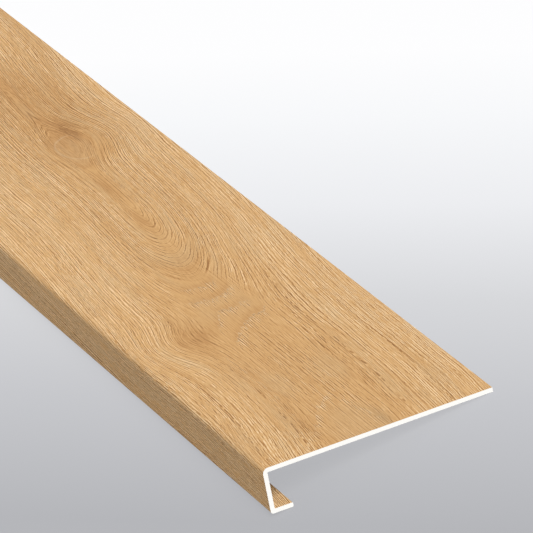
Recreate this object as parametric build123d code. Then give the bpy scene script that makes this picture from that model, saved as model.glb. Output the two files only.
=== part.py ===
from build123d import *
import math
import os

# A cover for a stair step: one rigid board that is the tread, folds down at the front as the nose
# and folds back under it as a short lip. Its section is a J on its side, of one even thickness.
# Sizes are in millimetres. X runs along the step, Y from the nose to the back edge, and Z is up.

# Driving dimensions
LENGTH = 2400.0  # a full stock length, which is cut to the width of the stairs
TREAD_DEPTH = 300.0  # from the front of the nose to the back edge
NOSE_HEIGHT = 59.0  # from the top of the tread to the bottom of the lip
LIP_DEPTH = 29.0  # from the front of the nose to the free edge of the lip
THICKNESS = 5.6  # of tread, nose and lip
NOSE_RADIUS = 7.0  # of the outer fold underfoot
HEEL_RADIUS = 3.5  # of the outer fold between nose and lip
INNER_RADIUS = 0.8  # inside both folds
LIP_EDGE_RADIUS = 1.2  # of the lip's free edge, where the printed surface wraps round it

# Levels of the section, measured from the top of the tread
tread_under = -THICKNESS
lip_bottom = -NOSE_HEIGHT
lip_top = lip_bottom + THICKNESS

# Corners of the section before they are rounded, as depth and height
nose_corner = Vector(0, 0)
back_top = Vector(TREAD_DEPTH, 0)
back_heel = Vector(TREAD_DEPTH, tread_under)
tread_inside = Vector(THICKNESS, tread_under)
lip_inside = Vector(THICKNESS, lip_top)
lip_edge_top = Vector(LIP_DEPTH, lip_top)
lip_edge_bottom = Vector(LIP_DEPTH, lip_bottom)
heel_corner = Vector(0, lip_bottom)


def round_corner(section, corner, radius):
    """Round the one corner of the section that lies at the given place."""
    vertex = section.vertices().sort_by_distance(corner)[0]
    return fillet(vertex, radius)


# The J section: a sharp outline first, then each fold with its own radius
outline = Polyline(
    nose_corner,
    back_top,
    back_heel,
    tread_inside,
    lip_inside,
    lip_edge_top,
    lip_edge_bottom,
    heel_corner,
    close=True,
)
section = make_face(outline)
section = round_corner(section, nose_corner, NOSE_RADIUS)
section = round_corner(section, heel_corner, HEEL_RADIUS)
section = round_corner(section, tread_inside, INNER_RADIUS)
section = round_corner(section, lip_inside, INNER_RADIUS)
section = round_corner(section, lip_edge_top, LIP_EDGE_RADIUS)
section = round_corner(section, lip_edge_bottom, LIP_EDGE_RADIUS)

# The board: the section run out along the step, half to each side
board = extrude(Plane.YZ * section, amount=LENGTH / 2, both=True)

# Left on a floor, the board leans back and rests on two lines: the rounded free edge of the lip
# and the lower corner of the back edge. The floor is the line from that corner that just touches
# the lip's rounding from below.
lip_edge_centre = Vector(LIP_DEPTH - LIP_EDGE_RADIUS, lip_bottom + LIP_EDGE_RADIUS)
span = back_heel - lip_edge_centre
rest_tilt = math.degrees(math.atan2(span.Y, span.X) + math.asin(LIP_EDGE_RADIUS / span.length))
resting = board.rotate(Axis.X, -rest_tilt)

# The origin is on the floor, under the middle of the resting board
box = resting.bounding_box()
middle = box.center()
stair_tread = Pos(-middle.X, -middle.Y, -box.min.Z) * resting
stair_tread.label = "stair_tread"

os.makedirs("parts", exist_ok=True)
export_step(stair_tread, "parts/stair_tread.step")
print(f"leans back {rest_tilt:.3f} degrees, volume {stair_tread.volume / 1e6:.3f} litres")
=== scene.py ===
# %% [markdown]
# A stair tread cover is one rigid board: the tread, a nose folded down at the front, and a short lip
# folded back under the nose. A wood-print film is bonded to its face. The cut ends show the white core.
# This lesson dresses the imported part. The frame gives the board's place, so nothing is fitted by eye.

# %% Load the frame
import itertools
import math

import bpy
import numpy as np
from mathutils import Matrix, Vector


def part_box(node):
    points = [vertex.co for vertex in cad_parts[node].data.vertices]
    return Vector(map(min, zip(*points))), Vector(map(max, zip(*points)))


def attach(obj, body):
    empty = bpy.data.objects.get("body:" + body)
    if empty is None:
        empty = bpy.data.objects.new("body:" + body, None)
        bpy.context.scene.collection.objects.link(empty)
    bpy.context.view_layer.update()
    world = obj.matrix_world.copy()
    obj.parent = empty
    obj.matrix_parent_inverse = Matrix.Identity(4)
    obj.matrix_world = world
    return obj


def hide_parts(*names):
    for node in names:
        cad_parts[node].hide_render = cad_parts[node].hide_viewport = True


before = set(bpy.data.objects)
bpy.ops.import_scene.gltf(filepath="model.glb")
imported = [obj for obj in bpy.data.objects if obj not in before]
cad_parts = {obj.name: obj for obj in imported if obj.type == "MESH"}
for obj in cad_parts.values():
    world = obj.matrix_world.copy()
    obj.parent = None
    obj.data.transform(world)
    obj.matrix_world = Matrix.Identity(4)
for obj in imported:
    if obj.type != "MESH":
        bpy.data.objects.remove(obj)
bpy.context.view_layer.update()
lowest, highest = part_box("stair_tread")
length = highest.x - lowest.x
print(f"the board is {length:.3f} m long and rests on the floor at {lowest.z:.3f} m")

# %% [markdown]
# The board leans back as it lies on the floor, on the lip's free edge and on the back edge. Its section is
# easiest to draw level, so the sizes below are in level axes: depth from the front of the nose, height
# from the top of the tread. One matrix then lays anything level into the resting pose, and the box of
# the frame says where that pose is.

# %% Sizes of the section, and its resting pose
TREAD_DEPTH = 0.300
NOSE_HEIGHT = 0.059
LIP_DEPTH = 0.029
THICKNESS = 0.0056
NOSE_RADIUS = 0.007
HEEL_RADIUS = 0.0035
INNER_RADIUS = 0.0008
LIP_EDGE_RADIUS = 0.0012
MM_PER_METRE = 1000

edge_run = TREAD_DEPTH - LIP_DEPTH + LIP_EDGE_RADIUS
edge_rise = NOSE_HEIGHT - LIP_EDGE_RADIUS - THICKNESS
lean = math.atan2(edge_rise, edge_run) + math.asin(LIP_EDGE_RADIUS / math.hypot(edge_run, edge_rise))
leaning = Matrix.Rotation(-lean, 4, "X")
back_top = leaning @ Vector((0, TREAD_DEPTH, 0))
back_heel = leaning @ Vector((0, TREAD_DEPTH, -THICKNESS))
at_rest = Matrix.Translation((0, highest.y - back_top.y, lowest.z - back_heel.z)) @ leaning
print(f"the board leans back {math.degrees(lean):.2f} degrees")

# %% [markdown]
# The camera comes early, because every later choice is judged through it. The photograph was taken from
# far off with a long lens, so the board's edges stay almost parallel. Its direction is held in the
# board's own level axes, and leans back with the board.

# %% Camera
IMAGE_WIDTH_PX = 533
FOCAL_LENGTH_PX = 7000
SENSOR_WIDTH_MM = 36.0
CAMERA_AZIMUTH = math.radians(71.254)
CAMERA_ELEVATION = math.radians(23.606)
CAMERA_ROLL = math.radians(-11.464)
CAMERA_DISTANCE = 8.677
AIM_FROM_END = 0.5289
AIM_FROM_NOSE = 0.2344
CLIP_SHARE = 20.0

aim = Vector((length / 2 - AIM_FROM_END, AIM_FROM_NOSE, 0))
turned = Matrix.Rotation(CAMERA_AZIMUTH, 4, "Z") @ Matrix.Rotation(math.pi / 2 - CAMERA_ELEVATION, 4, "X")
looking = turned @ Matrix.Rotation(CAMERA_ROLL, 4, "Z") @ Matrix.Translation((0, 0, CAMERA_DISTANCE))
camera_data = bpy.data.cameras.new("camera")
camera_data.sensor_width = SENSOR_WIDTH_MM
camera_data.lens = FOCAL_LENGTH_PX / IMAGE_WIDTH_PX * SENSOR_WIDTH_MM
camera_data.clip_end = CAMERA_DISTANCE * CLIP_SHARE
camera = bpy.data.objects.new("camera", camera_data)
bpy.context.scene.collection.objects.link(camera)
camera.matrix_world = at_rest @ Matrix.Translation(aim) @ looking
bpy.context.scene.camera = camera
print(f"the camera has a {camera_data.lens:.0f} mm lens, {CAMERA_DISTANCE:.2f} m from the tread")

# %% [markdown]
# The board is drawn once as a section and run along the step. A curve with a bevel could do that too, but
# a mesh lets each stretch of the section say what it is: film or bare core. Every stretch has an outer
# line and an inner line, and an end cap is one flat polygon between the two for each stretch.


# %% Straight and rounded lines
def straight(start, end, steps):
    """Points from start to end, both included."""
    share = np.linspace(0, 1, steps + 1)[:, None]
    return np.array(start) * (1 - share) + np.array(end) * share


def rounded(centre, radius, first_degrees, last_degrees, steps):
    """Points of an arc about a centre, from one direction to another."""
    angle = np.radians(np.linspace(first_degrees, last_degrees, steps + 1))
    return np.array(centre) + radius * np.stack([np.cos(angle), np.sin(angle)], axis=1)


print(f"the nose is rounded over {NOSE_RADIUS * math.pi / 2 * MM_PER_METRE:.1f} mm")

# %% Stretches of the section
FOLD_STEPS = 12
EDGE_STEPS = 5
TREAD_STEPS = 24
NOSE_STEPS = 6
LIP_STEPS = 4
UNDER_STEPS = 12
INSIDE_STEPS = 3

lip_top = THICKNESS - NOSE_HEIGHT
inner_wall = THICKNESS + INNER_RADIUS
lip_end = LIP_DEPTH - LIP_EDGE_RADIUS
low_nose = HEEL_RADIUS - NOSE_HEIGHT
stretches = {
    "tread": (
        straight((TREAD_DEPTH, 0), (NOSE_RADIUS, 0), TREAD_STEPS),
        straight((TREAD_DEPTH, -THICKNESS), (inner_wall, -THICKNESS), UNDER_STEPS),
    ),
    "nose_fold": (
        rounded((NOSE_RADIUS, -NOSE_RADIUS), NOSE_RADIUS, 90, 180, FOLD_STEPS),
        rounded((inner_wall, -inner_wall), INNER_RADIUS, 90, 180, EDGE_STEPS),
    ),
    "nose": (
        straight((0, -NOSE_RADIUS), (0, low_nose), NOSE_STEPS),
        straight((THICKNESS, -inner_wall), (THICKNESS, lip_top + INNER_RADIUS), INSIDE_STEPS),
    ),
    "heel_fold": (
        rounded((HEEL_RADIUS, low_nose), HEEL_RADIUS, 180, 270, FOLD_STEPS),
        rounded((inner_wall, lip_top + INNER_RADIUS), INNER_RADIUS, 180, 270, EDGE_STEPS),
    ),
    "lip": (
        straight((HEEL_RADIUS, -NOSE_HEIGHT), (lip_end, -NOSE_HEIGHT), LIP_STEPS),
        straight((inner_wall, lip_top), (lip_end, lip_top), LIP_STEPS),
    ),
    "lip_edge": (
        rounded((lip_end, LIP_EDGE_RADIUS - NOSE_HEIGHT), LIP_EDGE_RADIUS, 270, 360, EDGE_STEPS),
        rounded((lip_end, lip_top - LIP_EDGE_RADIUS), LIP_EDGE_RADIUS, 90, 0, EDGE_STEPS),
    ),
}
print(f"the section has {len(stretches)} stretches: {', '.join(stretches)}")

# %% [markdown]
# The mesh is the section run along the board. Each strip between two points of the section knows if it is
# film or core. The print goes over the outside of the folds and round the lip's free edge onto the top of
# the lip, and the rest of the inside is bare core.

# %% Points of the mesh
ALONG_STEPS = 48
INNER_FILM = ("lip_edge", "lip")


def chain(lines):
    """One line of points through several that meet end to end."""
    return np.concatenate([line[:-1] for line in lines] + [lines[-1][-1:]])


outer = chain([pair[0] for pair in stretches.values()])
inner = chain([pair[1] for pair in stretches.values()])
loop = np.concatenate([outer, inner[::-1]])
count = len(loop)
strip_widths = np.linalg.norm(np.roll(loop, -1, axis=0) - loop, axis=1)
girth = np.concatenate([[0], np.cumsum(strip_widths)[:-1]])
film_strips = len(outer) + sum(len(stretches[name][1]) - 1 for name in INNER_FILM)
stations = np.linspace(0, length, ALONG_STEPS + 1)
level = np.empty((len(stations), count, 3))
level[:, :, 0] = length / 2 - stations[:, None]
level[:, :, 1:] = loop[None]
placed = level.reshape(-1, 3) @ np.array(at_rest.to_3x3()).T + np.array(at_rest.translation)
print(f"{len(placed)} points, {film_strips} of {count} strips are film")

# %% [markdown]
# A map for baking lays every face out once. One long strip suits a board: the film takes most of the
# height, because its print is fine across the board and stretched along it, and the plain core and the
# two end caps share the rest.

# %% Faces along the board
FILM, CORE = 0, 1
BAKE_CORE_TOP = 0.07
BAKE_FILM_LOW = 0.10

faces = []
finishes = []
baked = []
film_height = 1 - (1 - BAKE_FILM_LOW) * girth / girth[film_strips]
core_height = (np.arange(count + 1) - film_strips) / (count - film_strips) * BAKE_CORE_TOP
for row in range(ALONG_STEPS):
    for strip in range(count):
        after = (strip + 1) % count
        first_row, next_row = row * count, (row + 1) * count
        faces.append((first_row + strip, next_row + strip, next_row + after, first_row + after))
        is_film = strip < film_strips
        finishes.append(FILM if is_film else CORE)
        first, second = film_height[[strip, after]] if is_film else core_height[strip:strip + 2]
        here, there = stations[row:row + 2] / length
        baked += [(here, first), (there, first), (there, second), (here, second)]
print(f"{len(faces)} faces run along the board")

# %% Faces of the end caps
BAKE_CAP_LOW, BAKE_CAP_HIGH = 0.08, 0.09
BAKE_CAP_WIDTH = 0.45
BAKE_CAP_FILL = 0.9
BAKE_FAR_CAP = 0.5

first_outer, first_inner = 0, count - 1
for part, (outer_line, inner_line) in enumerate(stretches.values()):
    outer_ids = first_outer + np.arange(len(outer_line))
    inner_ids = first_inner - np.arange(len(inner_line))
    first_outer, first_inner = outer_ids[-1], inner_ids[-1]
    around = np.concatenate([outer_ids, inner_ids[::-1]])
    run = np.concatenate([np.linspace(0, 1, len(outer_ids)), np.linspace(1, 0, len(inner_ids))])
    widths = (part + run * BAKE_CAP_FILL) / len(stretches) * BAKE_CAP_WIDTH
    heights = np.where(around < len(outer), BAKE_CAP_HIGH, BAKE_CAP_LOW)
    faces.append(around.tolist())
    baked += zip(widths, heights)
    faces.append((around + ALONG_STEPS * count)[::-1].tolist())
    baked += zip((widths + BAKE_FAR_CAP)[::-1], heights[::-1])
    finishes += [CORE, CORE]
print(f"{len(faces)} faces, {finishes.count(FILM)} of them film")

# %% [markdown]
# The film's flat coordinates are kept as a second map, in metres, as if it still lay flat before it was
# wrapped round the nose. So the print runs over the fold without a break, as it does on the real board.

# %% The mesh and its two maps
SHARP_ANGLE = math.radians(40)

mesh = bpy.data.meshes.new("stair_tread_board")
mesh.from_pydata(placed.tolist(), [], faces)
corner_points = np.empty(len(mesh.loops), dtype=int)
mesh.loops.foreach_get("vertex_index", corner_points)
flat = np.stack([stations[corner_points // count], TREAD_DEPTH - girth[corner_points % count]], axis=1)
for name, places in (("film", flat), ("OFBake", np.array(baked))):
    layer = mesh.uv_layers.new(name=name)
    layer.data.foreach_set("uv", places.astype(np.float32).ravel())
mesh.polygons.foreach_set("material_index", finishes)
mesh.shade_smooth()
mesh.set_sharp_from_angle(angle=SHARP_ANGLE)
print(f"the mesh has {len(mesh.polygons)} faces and {len(mesh.uv_layers)} maps")

# %% [markdown]
# Shader maths reads best as plain arithmetic. The small class below wraps a socket, so that a plus sign
# between two of them adds a Math node. Every other node comes from one method of the finish, which takes
# the node's type, its settings and what goes into its sockets.


# %% A socket that does arithmetic
class Shade:
    """A number, colour or place that varies over a surface."""

    def __init__(self, finish, socket):
        self.finish = finish
        self.socket = socket

    def maths(self, operation, *values):
        return self.finish.node("ShaderNodeMath", {"operation": operation}, dict(enumerate(values)))

    def __add__(self, other):
        return self.maths("ADD", self, other)

    def __sub__(self, other):
        return self.maths("SUBTRACT", self, other)

    def __rsub__(self, other):
        return self.maths("SUBTRACT", other, self)

    def __mul__(self, other):
        return self.maths("MULTIPLY", self, other)

    def __truediv__(self, other):
        return self.maths("DIVIDE", self, other)

    def __pow__(self, other):
        return self.maths("POWER", self, other)

    __radd__ = __add__
    __rmul__ = __mul__

    def at_least(self, other):
        return self.maths("MAXIMUM", self, other)

    def at_most(self, other):
        return self.maths("MINIMUM", self, other)

    def size(self):
        """The number without its sign."""
        return self.maths("ABSOLUTE", self)

    def beside(self, name):
        """Another output of the same node."""
        return Shade(self.finish, self.socket.node.outputs[name])


print(f"an expression of {Shade.__name__} values adds its own nodes")

# %% [markdown]
# A finish starts from an empty node tree, so nothing hidden is left in it. A ramp's stops are set through
# the same method as any other setting. Colours are written as a paint card gives them, and turned into
# the linear numbers of a shader in one place.


# %% A finish that makes nodes
MIX_SHARE, MIX_FIRST, MIX_SECOND, MIX_RESULT = 0, 6, 7, 2


class Finish:
    """The node tree of one material or world, written from nothing."""

    def __init__(self, owner):
        owner.use_nodes = True
        self.tree = owner.node_tree
        self.tree.nodes.clear()

    def node(self, kind, settings=None, sockets=None, output=0):
        made = self.tree.nodes.new(kind)
        for name, setting in (settings or {}).items():
            if name == "stops":
                self.set_stops(made.color_ramp, setting)
            else:
                setattr(made, name, setting)
        for name, value in (sockets or {}).items():
            if isinstance(value, Shade):
                self.tree.links.new(value.socket, made.inputs[name])
            else:
                made.inputs[name].default_value = value
        return Shade(self, made.outputs[output]) if made.outputs else None

    def set_stops(self, ramp, stops):
        """Give a colour ramp its stops, each a place and a colour."""
        for place, colour in stops[1:-1]:
            ramp.elements.new(place).color = colour
        for end in (0, -1):
            ramp.elements[end].position, ramp.elements[end].color = stops[end]

    def mixed(self, share, first, second):
        """A colour part of the way from the first to the second."""
        colours = {MIX_SHARE: share, MIX_FIRST: first, MIX_SECOND: second}
        return self.node("ShaderNodeMix", {"data_type": "RGBA"}, colours, output=MIX_RESULT)


print(f"{Finish.__name__} starts a material or a world from an empty tree")

# %% Colours from a paint card
CARD_WHITE = 255
CURVE_KNEE, CURVE_FOOT = 0.04045, 12.92
CURVE_SHIFT, CURVE_POWER = 0.055, 2.4


def paint(red, green, blue):
    """A colour as a paint card gives it, from 0 to 255, in the linear numbers that a shader takes."""
    share = np.array([red, green, blue]) / CARD_WHITE
    bright = ((share + CURVE_SHIFT) / (1 + CURVE_SHIFT)) ** CURVE_POWER
    linear = np.where(share <= CURVE_KNEE, share / CURVE_FOOT, bright)
    return (*linear.tolist(), 1.0)


middle_grey = paint(CARD_WHITE / 2, CARD_WHITE / 2, CARD_WHITE / 2)
print(f"the middle grey of the card is {middle_grey[0]:.2f} in linear numbers")

# %% [markdown]
# The print shows a flat-sawn oak board. On such a board each line is where one growth ring meets the cut,
# so the whole figure is a single height over the flat film, and the lines are its contours. The height
# is the distance from the tree's heart: off to the side, and down to where the heart lies below the
# cut. Where the heart sinks away from the cut, the contours close into nested arches, a cathedral.
# A wood texture made of stretched noise has no such arches, so the figure is worked out instead.

# %% Places on the film
oak_film = bpy.data.materials.new("oak_film")
film = Finish(oak_film)
along = film.node("ShaderNodeSeparateXYZ", None, {0: film.node("ShaderNodeUVMap", {"uv_map": "film"})})
across = along.beside("Y")
print(f"{len(film.tree.nodes)} nodes give a place on the film, in metres")

# %% [markdown]
# The figure is drawn with a few smooth helpers. A ramp with hard ends would leave creases in the contours,
# so each of these rises and falls gently. Noise comes in layers, and each use takes a layer of its own, so
# that no two features of the wood copy each other.

# %% Smooth helpers of the figure
LAYER_GAP = 7.7
NOISE_MIDDLE = 0.5
FINE_DETAIL = 2.0

layers = itertools.count(1)


def bell(x):
    """One at nought, falling smoothly away on both sides."""
    return x.maths("EXPONENT", x * x * -1)


def rising(x, start, end):
    """Nought at start and one at end, smooth at both. It also runs backwards."""
    ends = {"Value": x, "From Min": start, "From Max": end}
    return x.finish.node("ShaderNodeMapRange", {"interpolation_type": "SMOOTHSTEP"}, ends)


def cloud(x, y, detail=1.0):
    """Smooth noise about one half. Each call has a layer of the noise to itself."""
    place = film.node("ShaderNodeCombineXYZ", None, {"X": x, "Y": y, "Z": next(layers) * LAYER_GAP})
    sockets = {"Vector": place, "Scale": 1.0, "Detail": detail}
    return film.node("ShaderNodeTexNoise", {"noise_dimensions": "3D"}, sockets)


def swing(x, y, reach):
    """Smooth noise about nought, half its reach to each side."""
    return (cloud(x, y) - NOISE_MIDDLE) * reach


def near(place_along, place_across, reach_along, reach_across):
    """One at a place on the film, falling away over its reach."""
    return bell((along - place_along) / reach_along) * bell((across - place_across) / reach_across)


print(f"each layer of noise lies {LAYER_GAP} steps from the next")

# %% [markdown]
# The heart of the tree runs along the board with a slight slant and sway. It dips under the cut twice, once
# near each end, and the figure opens into arches there. Between the dips it lies just below the cut, where
# the rings are narrow and steep.

# %% How far each place on the film is from the heart of the tree
HEART_ACROSS = 0.128
HEART_SLOPE = 0.054
HEART_SWAY = 0.005
SWAY_LENGTH = 0.76
SWAY_PHASE = 0.92
LEAST_DEPTH = 0.0047
ARCH_DEPTH, ARCH_RUN = 0.060, (0.85, 0.40)
ARCH_WIDTH = 0.148
FAR_DEPTH, FAR_RUN = 0.062, (1.45, 2.05)


def from_heart(along):
    """How far a place is to the side of the heart line, which sways along the board."""
    phase = along * (2 * math.pi / SWAY_LENGTH) + SWAY_PHASE
    return across - along * HEART_SLOPE - HEART_ACROSS - phase.maths("SINE", phase) * HEART_SWAY


def heart_distance(along):
    """Contour height of the figure, in metres."""
    aside = from_heart(along)
    depth = rising(along, *ARCH_RUN) * ARCH_DEPTH + rising(along, *FAR_RUN) * FAR_DEPTH + LEAST_DEPTH
    below = depth * bell(aside / ARCH_WIDTH)
    return (aside * aside + below * below) ** 0.5


deepest = LEAST_DEPTH + max(ARCH_DEPTH, FAR_DEPTH)
print(f"the heart is {LEAST_DEPTH * MM_PER_METRE:.1f} to {deepest * MM_PER_METRE:.1f} mm below the cut")

# %% [markdown]
# Two things push the rings out of the way: a knot far up the board, and a swelling beside the first arch.
# Each is a smooth hill taken off the height, so the contours flow round it. A long hollow next to the
# swelling lets them fan out again towards the near end. Fine teeth along the board make the flat parts of
# the arches ragged, as the saw leaves them.

# %% Rings round the knot and the swelling
KNOT_PLACE, KNOT_REACH, KNOT_RISE = (1.094, 0.226), (0.076, 0.058), 0.0223
SWELLING_PLACE, SWELLING_REACH, SWELLING_RISE = (0.400, 0.053), (0.062, 0.042), 0.0137
HOLLOW_PLACE, HOLLOW_REACH, HOLLOW_DEPTH = (0.230, 0.054), (0.165, 0.031), 0.0115
TOOTH_WIDTH, TOOTH_LENGTH, TOOTH_REACH = 0.0022, 0.05, 0.0045
DRIFT_WIDTH, DRIFT_LENGTH, DRIFT_REACH = 0.05, 0.20, 0.006

teeth = swing(across / TOOTH_WIDTH, along / TOOTH_LENGTH, TOOTH_REACH)
drift = swing(along / DRIFT_LENGTH, across / DRIFT_WIDTH, DRIFT_REACH)
swelling = near(*SWELLING_PLACE, *SWELLING_REACH)
rings = heart_distance(along + teeth) + drift
rings = rings - near(*KNOT_PLACE, *KNOT_REACH) * KNOT_RISE - swelling * SWELLING_RISE
rings = rings + near(*HOLLOW_PLACE, *HOLLOW_REACH) * HOLLOW_DEPTH
print(f"the height of the figure takes {len(film.tree.nodes)} nodes")

# %% [markdown]
# The lines of the print depend on how steeply a ring meets the cut. In the arms of an arch it is steep and
# the lines are sharp. At the tip of an arch it is nearly flat and they are soft. Steepness is how far aside
# a place is for its height. The two sides of the heart are told apart too, so that their lines differ.

# %% Where the rings are steep, and where they are flat
HEART_CORE = 0.004
ARM_STEEPNESS = (0.32, 0.66)
APEX_STEEPNESS = (0.40, 0.15)
LEAST_STEEPNESS = 0.30
BACK_OF_BOARD = (0.10, 0.21)
SIDE_WIDTH, SIDE_STEP = 0.02, 5.3

aside = from_heart(along)
steepness = aside.size() / (rings + HEART_CORE)
in_arms = rising(steepness, *ARM_STEEPNESS)
at_apex = rising(steepness, *APEX_STEEPNESS)
in_back = rising(across, *BACK_OF_BOARD)
side = rising(aside, -SIDE_WIDTH, SIDE_WIDTH) * SIDE_STEP
steepness = steepness.at_most(1.0).at_least(LEAST_STEEPNESS)
print(f"the arms begin at a steepness of {ARM_STEEPNESS[0]}")

# %% [markdown]
# Oak's pores are long tubes. The saw opens them, and each shows as a thin dark thread. The paler edge on
# both sides is a painted highlight on the rims of the thread's pressed groove. In the arms of the arches
# the threads follow the rings, and in the flat middle they follow the
# both sides. In the arms of the arches the threads follow the rings, and in the flat middle they follow the
# board. Noise alone gives soft streaks, so the threads are counted instead: a place divided by their
# spacing gives each thread a number, and the number picks where that thread shows and where it fades.

# %% Threads of the grain
THREAD_STRIDE = 7.3
MIDDLE_OF_STEP = 0.5
THREAD_DARK, THREAD_HIGHLIGHT = 1.9, 0.66
HIGHLIGHT_OUTSIDE, HIGHLIGHT_INSIDE = 2.2, 0.7
WANDER_SPACINGS, WANDER_LENGTH, WANDER_REACH = 2.5, 0.8, 1.6
ROUGH_WIDTH, ROUGH_LENGTH, ROUGH_REACH = 0.0035, 0.035, 0.0014

rough = swing(across / ROUGH_WIDTH, along / ROUGH_LENGTH, ROUGH_REACH)


def threads(place, slope, shift, spacing, width, run, shows):
    """Dark threads with pale edges, one at each step of a place. The slope is how steep it is there."""
    wander = swing(place / (spacing * WANDER_SPACINGS), along / WANDER_LENGTH, spacing * WANDER_REACH)
    turn = (place + rough * slope + wander) / spacing
    number = turn.maths("FLOOR", turn)
    gap = (turn - number - MIDDLE_OF_STEP).size() * spacing / slope
    strength = rising(cloud(number * THREAD_STRIDE, along / run + shift, detail=FINE_DETAIL), *shows)
    dark = rising(gap, width, 0.0) * THREAD_DARK
    # The pale edges are a painted highlight along the rims of each thread's groove.
    pale = rising(gap, width * HIGHLIGHT_OUTSIDE, width * HIGHLIGHT_INSIDE) * THREAD_HIGHLIGHT
    return (dark - pale) * strength * slope


print(f"a thread's pale edges reach {HIGHLIGHT_OUTSIDE} times its own width")

# %% Kinds of thread
in_rings = (rings, steepness, side)
in_arches = (rings, steepness, 0.0)
in_board = (across, 1.0, 0.0)
long_threads = threads(*in_rings, spacing=0.0042, width=0.0010, run=0.14, shows=(0.30, 0.58))
dashes = threads(*in_rings, spacing=0.0030, width=0.0008, run=0.022, shows=(0.35, 0.59))
ticks = threads(*in_rings, spacing=0.0021, width=0.0007, run=0.012, shows=(0.38, 0.62))
arch_threads = threads(*in_arches, spacing=0.0026, width=0.0016, run=0.10, shows=(0.26, 0.52))
board_threads = threads(*in_board, spacing=0.0042, width=0.0011, run=0.030, shows=(0.36, 0.60))
hairs = threads(*in_board, spacing=0.0027, width=0.0009, run=0.016, shows=(0.40, 0.62))
print(f"with its threads the film takes {len(film.tree.nodes)} nodes")

# %% [markdown]
# Where the middle of an arch lies almost level with the cut, the saw runs through one ring for a long way
# and the print is smooth there. It ends at a ragged seam, with a comb of short pale hairs on its near side.
# A seam is a line through a few given points. The fine teeth and a slow zigzag make it ragged.

# %% Lines of the seams
SEAM_TAPER = 0.012
SEAM_RAGGEDNESS = 6.7
ZIGZAG_WIDTH, ZIGZAG_LENGTH, ZIGZAG_REACH = 0.009, 0.06, 0.010
ARCH_SEAMS = (
    [(0.545, 0.120), (0.530, 0.143), (0.532, 0.157), (0.548, 0.175)],
    [(0.510, 0.108), (0.493, 0.126), (0.487, 0.142), (0.495, 0.166), (0.512, 0.185)],
    [(0.384, 0.110), (0.422, 0.125), (0.451, 0.134), (0.446, 0.153), (0.455, 0.182)],
    [(0.335, 0.110), (0.379, 0.136), (0.399, 0.153), (0.409, 0.172), (0.424, 0.192)],
)
END_SEAM = [(-0.010, 0.046), (0.066, 0.102), (0.105, 0.117), (0.136, 0.145), (0.118, 0.148), (-0.02, 0.175)]

zigzag = swing(across / ZIGZAG_WIDTH, along / ZIGZAG_LENGTH, ZIGZAG_REACH)


def past_seam(points):
    """How far a place is past a ragged line, towards the near end, and if it is between the line's ends."""
    path = points[0][0]
    for (first_along, first_across), (last_along, last_across) in zip(points, points[1:]):
        ends = {"Value": across, "From Min": first_across, "From Max": last_across}
        path = film.node("ShaderNodeMapRange", None, ends) * (last_along - first_along) + path
    first, last = points[0][1], points[-1][1]
    between = rising(across, first, first + SEAM_TAPER) * rising(across, last, last - SEAM_TAPER)
    return path - along - teeth * SEAM_RAGGEDNESS - zigzag, between


print(f"{len(ARCH_SEAMS)} seams cross the arch, and one more lies at the near end")

# %% Seams in the print
SEAM_EDGE = (0.0024, 0.0006)
BREAK_WIDTH, BREAK_LENGTH, BREAK_SHOWS = 0.0040, 0.012, (0.34, 0.56)
COMB_START, COMB_FADE = (-0.002, 0.003), (0.028, 0.004)
SMOOTH_START, SMOOTH_FADE = (0.004, -0.004), (-0.060, -0.020)
SHADOW_PLACE, SHADOW_REACH = -0.008, 0.008
END_FAINTNESS = 0.4

seam_breaks = rising(cloud(across / BREAK_WIDTH, along / BREAK_LENGTH), *BREAK_SHOWS)
seam_line = comb = seam_smooth = seam_shadow = 0
for points in (*ARCH_SEAMS, END_SEAM):
    past, between = past_seam(points)
    faint = END_FAINTNESS if points is END_SEAM else 1.0
    seam_line = rising(past.size(), *SEAM_EDGE) * between * seam_breaks * faint + seam_line
    comb = rising(past, *COMB_START) * rising(past, *COMB_FADE) * between + comb
    if points is not END_SEAM:
        seam_smooth = rising(past, *SMOOTH_START) * rising(past, *SMOOTH_FADE) * between + seam_smooth
        seam_shadow = bell((past - SHADOW_PLACE) / SHADOW_REACH) * between + seam_shadow
print(f"with its seams the film takes {len(film.tree.nodes)} nodes")

# %% [markdown]
# The knot shows its eye: a brown oval, calm inside, with a pale rim on the side of the nose. The distance
# from its middle is counted in half widths of the oval, so it is one all along the rim. A little of the
# noise that tones the wood keeps the rim from being a perfect oval.

# %% The eye of the knot
EYE_PLACE, EYE_SIZE = (1.075, 0.197), (0.044, 0.026)
EYE_WOBBLE = 0.25
EYE_RIM, EYE_RIM_SIDE = 0.040, (0.212, 0.19)
EYE_CALM = (2.2, 1.0)
TONE_WIDTH, TONE_LENGTH = 0.018, 0.9

tone = cloud(rings / TONE_WIDTH, along / TONE_LENGTH, detail=FINE_DETAIL) - NOISE_MIDDLE
eye_along = (along - EYE_PLACE[0]) / EYE_SIZE[0]
eye_across = (across - EYE_PLACE[1]) / EYE_SIZE[1]
eye = (eye_along * eye_along + eye_across * eye_across) ** 0.5 + tone * EYE_WOBBLE
eye_rim = bell((eye - 1) / EYE_RIM) * rising(across, *EYE_RIM_SIDE)
calm = rising(eye, *EYE_CALM)
print(f"the knot's eye is {EYE_PLACE[0]:.2f} m from the near end")

# %% [markdown]
# In some places the print is quiet, and where the rings bend most it is browner. Nothing there has an edge,
# so each place is a soft spot. A spot is five numbers: where it lies along and across the film, how far it
# reaches along and across, and how strong it is. The tongues along the heart are both quiet and brown.

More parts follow.
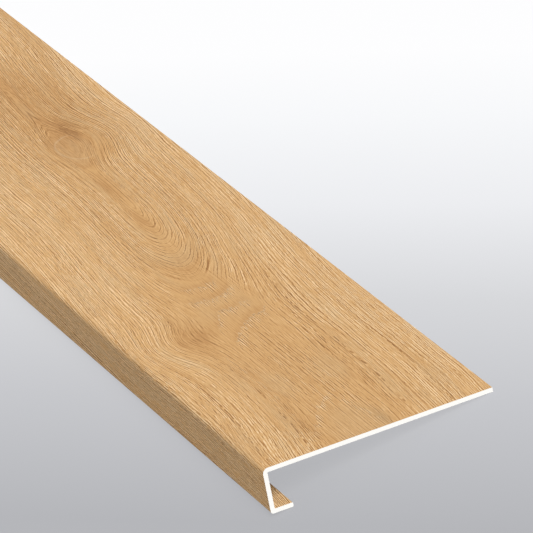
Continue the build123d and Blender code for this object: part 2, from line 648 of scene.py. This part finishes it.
# %% Soft spots
QUIET_SPOTS = (
    (0.450, 0.140, 0.075, 0.040, 1.0),
    (0.395, 0.090, 0.060, 0.030, 0.7),
    (0.060, 0.120, 0.050, 0.025, 0.7),
)
BROWN_SPOTS = (
    (1.145, 0.210, 0.040, 0.014, 1.0),
    (1.240, 0.200, 0.220, 0.060, 1.0),
    (0.400, 0.086, 0.045, 0.020, 1.2),
    (0.070, 0.084, 0.040, 0.012, 0.6),
)
HEART_TONGUES = (
    (0.785, 0.170, 0.040, 0.008, 0.9),
    (0.920, 0.177, 0.053, 0.010, 0.9),
)
GREY_SPOTS = ((0.025, 0.167, 0.035, 0.007, 0.35),)
KNOT_TIPS = (
    (1.015, 0.183, 0.050, 0.014, 0.8),
    (1.165, 0.200, 0.050, 0.020, 0.8),
)


def spots(places):
    """Soft spots on the film, added up."""
    return sum(near(*place) * strength for *place, strength in places)


quiet = (spots(QUIET_SPOTS + HEART_TONGUES) + seam_smooth).at_most(1.0)
smudges = spots(BROWN_SPOTS + HEART_TONGUES)
grey_smudge = spots(GREY_SPOTS)
knot_tips = spots(KNOT_TIPS)
print(f"{len(QUIET_SPOTS)} quiet spots and {len(BROWN_SPOTS) + len(GREY_SPOTS)} smudges")

# %% [markdown]
# Now each kind of thread goes where it belongs. Long threads run in the arms of the arches, most of all at
# the back of the board, and dashes and ticks fill the front. The arches have threads of their own, and the
# flat middle has threads that follow the board.

# %% Where the threads lie
NEAR_ARCH, FAR_ARCH = (0.51, 0.60), (1.98, 1.84)
LONG_SHARE, LONG_AT_BACK, LONG_ON_ARCHES = 0.39, 0.34, 0.20
DASH_SHARE, DASH_AT_BACK = 0.88, -0.32
TICK_SHARE = 1.0
ARCH_SHARE, APEX_SOFTNESS = 1.6, 0.45
BOARD_SHARE, HAIR_SHARE = 0.45, 0.5

on_arches = rising(along, *NEAR_ARCH) * rising(along, *FAR_ARCH)
in_arch = (1 - in_arms) * on_arches * (1 - at_apex * APEX_SOFTNESS) * (1 - calm)
in_middle = (1 - in_arms) * (1 - on_arches)
arm_lines = long_threads * (in_back * LONG_AT_BACK + on_arches * LONG_ON_ARCHES + LONG_SHARE)
arm_lines = arm_lines + dashes * (in_back * DASH_AT_BACK + DASH_SHARE) + ticks * TICK_SHARE
middle_lines = board_threads * BOARD_SHARE + hairs * HAIR_SHARE
lines = arm_lines * in_arms + arch_threads * in_arch * ARCH_SHARE + middle_lines * in_middle
print(f"{len(film.tree.nodes)} nodes lay the threads out")

# %% [markdown]
# Threads come in bundles, with plainer wood between. They are softer at the knot, the swelling and the quiet
# places, and the combs of the seams are added. On the nose, which is in shade, the print is a little bolder.

# %% Lines of the print
BUNDLE_WIDTH, BUNDLE_LENGTH, BUNDLE_SHOWS = 0.016, 0.18, (0.36, 0.60)
BUNDLE_SHARE = 0.46
CALM_SOFTNESS, SWELLING_SOFTNESS, QUIET_SOFTNESS = 0.75, 0.5, 0.65
DARKEST_LINE = 0.38
COMB_SHARE = 0.75
OVER_NOSE, NOSE_BOLDNESS = (0.004, -0.006), 0.7

bundle = rising(cloud(rings / BUNDLE_WIDTH, along / BUNDLE_LENGTH + side), *BUNDLE_SHOWS)
lines = lines * (bundle * BUNDLE_SHARE + (1 - BUNDLE_SHARE))
lines = lines * (1 - calm * CALM_SOFTNESS) * (1 - swelling * SWELLING_SOFTNESS) * (1 - knot_tips)
lines = lines.at_most(DARKEST_LINE) * (1 - quiet * QUIET_SOFTNESS) + hairs * comb * COMB_SHARE
lines = lines * (rising(across, *OVER_NOSE) * NOSE_BOLDNESS + 1)
print(f"the lines take {len(film.tree.nodes)} nodes")

# %% [markdown]
# One number now says how dark each place is: a slow tone from ring to ring, a browner band along the heart,
# the smudges, the lines, and a fine grain that keeps plain places from being flat.

# %% Shade of the print
PLAIN_SHADE = 0.46
TONE_SHARE = 0.35
BAND_WIDTH, BAND_SHARE = 0.09, 0.10
SMUDGE_SHARE, CALM_SHARE, SHADOW_SHARE = 0.18, 0.06, 0.10
SPECK_WIDTH, SPECK_LENGTH, SPECK_REACH = 0.0009, 0.012, 0.40
RING_GRAIN_WIDTH, RING_GRAIN_LENGTH, RING_GRAIN_REACH = 0.0012, 0.030, 0.6
FLAT_GRAIN_WIDTH, FLAT_GRAIN_LENGTH, FLAT_GRAIN_REACH = 0.0014, 0.022, 0.5
QUIET_GRAIN = 0.5

specks = swing(across / SPECK_WIDTH, along / SPECK_LENGTH, SPECK_REACH)
ring_grain = swing(rings / RING_GRAIN_WIDTH, along / RING_GRAIN_LENGTH, RING_GRAIN_REACH) * in_arms
flat_grain = swing(across / FLAT_GRAIN_WIDTH, along / FLAT_GRAIN_LENGTH, FLAT_GRAIN_REACH) * (1 - in_arms)
shade = tone * TONE_SHARE + bell(aside / BAND_WIDTH) * BAND_SHARE + smudges * SMUDGE_SHARE + PLAIN_SHADE
shade = shade + calm * CALM_SHARE + seam_shadow * SHADOW_SHARE + lines
shade = shade + (ring_grain + flat_grain + specks) * (1 - quiet * QUIET_GRAIN)
print(f"the shade takes {len(film.tree.nodes)} nodes")

# %% [markdown]
# A ramp turns that number into oak, from straw through tan to brown. Real wood also varies in hue, so some
# rings turn a little greyer. The seams are drawn last, in dots of pale and grey.

# %% Colours of the print
OAK_STOPS = [
    (0.0, paint(243, 209, 163)),
    (0.25, paint(225, 184, 132)),
    (0.5, paint(211, 167, 113)),
    (0.75, paint(191, 144, 93)),
    (1.0, paint(147, 105, 64)),
]
GREY_OAK, PALE_OAK, DARK_SMUDGE = paint(200, 172, 132), paint(222, 198, 165), paint(160, 132, 98)
SEAM_GREY, SEAM_PALE = paint(168, 144, 114), paint(221, 198, 167)
HUE_WIDTH, HUE_LENGTH, HUE_SHOWS, HUE_SHARE = 0.012, 0.14, (0.48, 0.74), 0.22
COMB_PALENESS, RIM_PALENESS = 0.03, 0.26
DOT_WIDTH, DOT_LENGTH, DOT_SHOWS = 0.0024, 0.005, (0.42, 0.58)
SEAM_SHARE = 0.6

greyer = rising(cloud(rings / HUE_WIDTH, along / HUE_LENGTH), *HUE_SHOWS)
dots = rising(cloud(across / DOT_WIDTH, along / DOT_LENGTH), *DOT_SHOWS)
colour = film.node("ShaderNodeValToRGB", {"stops": OAK_STOPS}, {"Fac": shade})
colour = film.mixed(greyer * HUE_SHARE, colour, GREY_OAK)
colour = film.mixed(comb * COMB_PALENESS + eye_rim * RIM_PALENESS, colour, PALE_OAK)
colour = film.mixed(seam_line * SEAM_SHARE, colour, film.mixed(dots, SEAM_GREY, SEAM_PALE))
colour = film.mixed(grey_smudge, colour, DARK_SMUDGE)
print(f"the print has {len(OAK_STOPS)} colours of oak, and {len(film.tree.nodes)} nodes")

# %% [markdown]
# The film is matt, and pressed with the grain: a dark line is also a shallow groove, and a little rougher.
# It hardly shines, so its gloss is set low.

# %% Surface of the film
GROOVE_STRENGTH, GROOVE_DEPTH = 0.35, 0.0003
FILM_ROUGHNESS, LINE_ROUGHNESS = 0.50, 0.10
FILM_GLOSS = 0.03

grooves = {"Strength": GROOVE_STRENGTH, "Distance": GROOVE_DEPTH, "Height": lines * -1}
skin = film.node("ShaderNodeBsdfPrincipled", None, {
    "Base Color": colour,
    "Roughness": lines * LINE_ROUGHNESS + FILM_ROUGHNESS,
    "Specular IOR Level": FILM_GLOSS,
    "Normal": film.node("ShaderNodeBump", None, grooves),
})
film.node("ShaderNodeOutputMaterial", None, {"Surface": skin})
print(f"the film's finish has {len(film.tree.nodes)} nodes")

# %% [markdown]
# The core is a rigid white plastic board, sawn square at the ends. Sawing leaves it matt, with a fine even
# grain. Its colour stays just under white, so that it never clips in the light.

# %% White core
GRAINS_PER_METRE, GRAIN_DETAIL = 700.0, 2.0
DULL_WHITE, BRIGHT_WHITE = paint(243, 243, 243), paint(252, 252, 252)
SAWN_STRENGTH, SAWN_DEPTH = 0.1, 0.0002
CORE_ROUGHNESS, CORE_GLOSS = 0.5, 0.3

white_core = bpy.data.materials.new("white_core")
core = Finish(white_core)
where = core.node("ShaderNodeTexCoord", None, None, output="Object")
grain_size = {"Vector": where, "Scale": GRAINS_PER_METRE, "Detail": GRAIN_DETAIL}
grain = core.node("ShaderNodeTexNoise", None, grain_size)
sawn = {"Strength": SAWN_STRENGTH, "Distance": SAWN_DEPTH, "Height": grain}
body = core.node("ShaderNodeBsdfPrincipled", None, {
    "Base Color": core.mixed(grain, DULL_WHITE, BRIGHT_WHITE),
    "Roughness": CORE_ROUGHNESS,
    "Specular IOR Level": CORE_GLOSS,
    "Normal": core.node("ShaderNodeBump", None, sawn),
})
core.node("ShaderNodeOutputMaterial", None, {"Surface": body})
print(f"the core's finish has {len(core.tree.nodes)} nodes")

# %% [markdown]
# The mesh now stands for the imported solid. It rides on the one body of the part.

# %% The board in the frame
mesh.materials.append(oak_film)
mesh.materials.append(white_core)
board = bpy.data.objects.new("stair_tread_board", mesh)
bpy.context.scene.collection.objects.link(board)
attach(board, "root")
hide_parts("stair_tread")
print(f"{board.name} stands for the packed board")

# %% [markdown]
# The board lies on a plain floor that runs far out of the picture, so no edge of it shows.

# %% Floor
FLOOR_SPAN = 60.0

floor_mesh = bpy.data.meshes.new("floor")
half = FLOOR_SPAN / 2
corners = [(-half, -half, 0), (half, -half, 0), (half, half, 0), (-half, half, 0)]
floor_mesh.from_pydata(corners, [], [(0, 1, 2, 3)])
floor = bpy.data.objects.new("floor", floor_mesh)
bpy.context.scene.collection.objects.link(floor)
floor.location.z = lowest.z
print(f"the floor is {FLOOR_SPAN:.0f} m square")

# %% [markdown]
# The floor is a sweep of pale paper. In the photograph the paper goes from grey at the bottom of the picture
# to white at the top, so its colour runs that way over the floor: a painted fall-off of light, with painted
# shade towards the bottom of the picture. The camera sees part of that colour as a painted glow, which keeps
# the ground even and lightens the board's shadow, and the rest takes the light, so the shadow still shows.
# Light that bounces back to the board meets plain warm grey paper.

# %% Where the paper is in the picture
PAPER_LOW, PAPER_HIGH = -0.30, 0.28


def seen_rays(finish):
    """One for a ray of the camera, a gloss or a pane, and nought for light that bounces about."""
    seen = finish.node("ShaderNodeLightPath")
    return seen.at_least(seen.beside("Is Glossy Ray")).at_least(seen.beside("Is Transmission Ray"))


sweep_paper = bpy.data.materials.new("sweep_paper")
sweep = Finish(sweep_paper)
upward = camera.matrix_world.to_3x3() @ Vector((0, 1, 0))
middle = at_rest @ aim
floor_x = sweep.node("ShaderNodeSeparateXYZ", None, {0: sweep.node("ShaderNodeTexCoord", output="Object")})
floor_y = floor_x.beside("Y")
height_in_view = (floor_x - middle.x) * upward.x + (floor_y - middle.y) * upward.y - middle.z * upward.z
rise_ends = {"Value": height_in_view, "From Min": PAPER_LOW, "From Max": PAPER_HIGH}
rise = sweep.node("ShaderNodeMapRange", None, rise_ends)
print(f"the paper turns from grey to white over {PAPER_HIGH - PAPER_LOW:.2f} m of the picture")

# %% Paper of the sweep, with its painted fall-off of light
# The stops run from painted shade at the bottom of the picture to white at the top.
PAPER_PAINTED_FALLOFF_STOPS = [
    (0.0, paint(181, 182, 186)),
    (0.25, paint(199, 200, 204)),
    (0.45, paint(215, 216, 219)),
    (0.65, paint(236, 237, 240)),
    (0.85, paint(247, 248, 250)),
    (1.0, paint(253, 253, 254)),
]
PLAIN_PAPER = paint(193, 186, 170)
PAPER_GLOW = 0.87

seen = seen_rays(sweep)
paper_painted_falloff = sweep.node("ShaderNodeValToRGB", {"stops": PAPER_PAINTED_FALLOFF_STOPS}, {"Fac": rise})
paper = sweep.node("ShaderNodeBsdfDiffuse", None, {"Color": sweep.mixed(seen, PLAIN_PAPER, paper_painted_falloff)})
# Camera rays see part of the paper as a painted glow, bright whatever light falls on it.
glowing = sweep.node("ShaderNodeEmission", None, {"Color": paper_painted_falloff})
lit = sweep.node("ShaderNodeMixShader", None, {0: seen * PAPER_GLOW, 1: paper, 2: glowing})
sweep.node("ShaderNodeOutputMaterial", None, {"Surface": lit})
floor_mesh.materials.append(sweep_paper)
print(f"the paper's finish has {len(sweep.tree.nodes)} nodes")

# %% [markdown]
# The light is a plain studio: an even sky and one large soft lamp. The lamp stands high at the cut end, so
# the tread and the white end are bright and the nose is in open shade, as in the photograph.

# %% Sky
SKY_COLOUR = paint(255, 255, 255)
SKY_STRENGTH = 0.42
SKY_SEEN = 0.95

world = bpy.data.worlds.new("studio")
bpy.context.scene.world = world
sky = Finish(world)
sky_strength = seen_rays(sky) * (SKY_SEEN - SKY_STRENGTH) + SKY_STRENGTH
glow = sky.node("ShaderNodeBackground", None, {"Color": SKY_COLOUR, "Strength": sky_strength})
sky.node("ShaderNodeOutputWorld", None, {"Surface": glow})
print(f"the sky has a strength of {SKY_STRENGTH}")

# %% Lamp
LAMP_DIRECTION = Vector((0.70, 0.10, 0.71))
LAMP_STRENGTH = 2.7
LAMP_ANGLE = math.radians(30)

lamp_data = bpy.data.lights.new("softbox", "SUN")
lamp_data.energy = LAMP_STRENGTH
lamp_data.angle = LAMP_ANGLE
lamp = bpy.data.objects.new("softbox", lamp_data)
lamp.rotation_euler = LAMP_DIRECTION.to_track_quat("Z", "Y").to_euler()
bpy.context.scene.collection.objects.link(lamp)
bpy.context.scene.view_settings.view_transform = "Standard"
print(f"the lamp has a strength of {LAMP_STRENGTH}")
